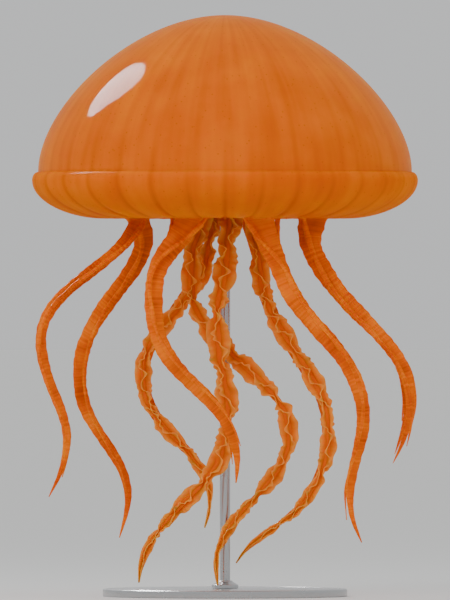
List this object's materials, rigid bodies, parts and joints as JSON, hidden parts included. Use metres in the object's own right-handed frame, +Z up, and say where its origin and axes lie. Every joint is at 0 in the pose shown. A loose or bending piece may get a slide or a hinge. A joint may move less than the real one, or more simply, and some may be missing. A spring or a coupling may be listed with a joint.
{
  "type": "sea nettle jellyfish",
  "caption": "Still life-size sea nettle jellyfish with a domed bell, frilled oral arms and long trailing tentacles, held by a rod on a round base.",
  "frame": {"origin": "on the floor, at the centre of the stand's base, under the middle of the bell", "axes": "+Z up through the bell's apex; -Y is the front of the pose; +X is to the right as seen from the front"},
  "size_m": [0.3, 0.3, 0.4518],
  "materials": {
    "bell_jelly": "wet, clear orange jelly, warm gold where thin",
    "oral_arm_frill": "soft, ruffled, pale orange membrane",
    "tentacle_skin": "wet, deep orange skin",
    "brushed_steel": "satin, brushed"
  },
  "bodies": {
    "root": {"bell": "bell_jelly", "manubrium": "bell_jelly", "oral_arm_back_lower": "oral_arm_frill", "oral_arm_back_upper": "oral_arm_frill", "oral_arm_front_lower": "oral_arm_frill", "oral_arm_front_upper": "oral_arm_frill", "oral_arm_left_lower": "oral_arm_frill", "oral_arm_left_upper": "oral_arm_frill", "oral_arm_right_lower": "oral_arm_frill", "oral_arm_right_upper": "oral_arm_frill", "stand_base": "brushed_steel", "stand_rod": "brushed_steel", "tentacle_centre_left_back_1_lower": "tentacle_skin", "tentacle_centre_left_back_1_upper": "tentacle_skin", "tentacle_centre_left_back_2_lower": "tentacle_skin", "tentacle_centre_left_back_2_upper": "tentacle_skin", "tentacle_centre_left_back_3_lower": "tentacle_skin", "tentacle_centre_left_back_3_upper": "tentacle_skin", "tentacle_centre_left_front_1_lower": "tentacle_skin", "tentacle_centre_left_front_1_upper": "tentacle_skin", "tentacle_centre_left_front_2_lower": "tentacle_skin", "tentacle_centre_left_front_2_upper": "tentacle_skin", "tentacle_centre_left_front_3_lower": "tentacle_skin", "tentacle_centre_left_front_3_upper": "tentacle_skin", "tentacle_centre_right_back_1_lower": "tentacle_skin", "tentacle_centre_right_back_1_upper": "tentacle_skin", "tentacle_centre_right_back_2_lower": "tentacle_skin", "tentacle_centre_right_back_2_upper": "tentacle_skin", "tentacle_centre_right_back_3_lower": "tentacle_skin", "tentacle_centre_right_back_3_upper": "tentacle_skin", "tentacle_centre_right_front_1_lower": "tentacle_skin", "tentacle_centre_right_front_1_upper": "tentacle_skin", "tentacle_centre_right_front_2_lower": "tentacle_skin", "tentacle_centre_right_front_2_upper": "tentacle_skin", "tentacle_centre_right_front_3_lower": "tentacle_skin", "tentacle_centre_right_front_3_upper": "tentacle_skin", "tentacle_left_back_1_lower": "tentacle_skin", "tentacle_left_back_1_upper": "tentacle_skin", "tentacle_left_back_2_lower": "tentacle_skin", "tentacle_left_back_2_upper": "tentacle_skin", "tentacle_left_back_3_lower": "tentacle_skin", "tentacle_left_back_3_upper": "tentacle_skin", "tentacle_left_front_1_lower": "tentacle_skin", "tentacle_left_front_1_upper": "tentacle_skin", "tentacle_left_front_2_lower": "tentacle_skin", "tentacle_left_front_2_upper": "tentacle_skin", "tentacle_left_front_3_lower": "tentacle_skin", "tentacle_left_front_3_upper": "tentacle_skin", "tentacle_right_back_1_lower": "tentacle_skin", "tentacle_right_back_1_upper": "tentacle_skin", "tentacle_right_back_2_lower": "tentacle_skin", "tentacle_right_back_2_upper": "tentacle_skin", "tentacle_right_back_3_lower": "tentacle_skin", "tentacle_right_back_3_upper": "tentacle_skin", "tentacle_right_front_1_lower": "tentacle_skin", "tentacle_right_front_1_upper": "tentacle_skin", "tentacle_right_front_2_lower": "tentacle_skin", "tentacle_right_front_2_upper": "tentacle_skin", "tentacle_right_front_3_lower": "tentacle_skin", "tentacle_right_front_3_upper": "tentacle_skin"}
  },
  "joints": []
}
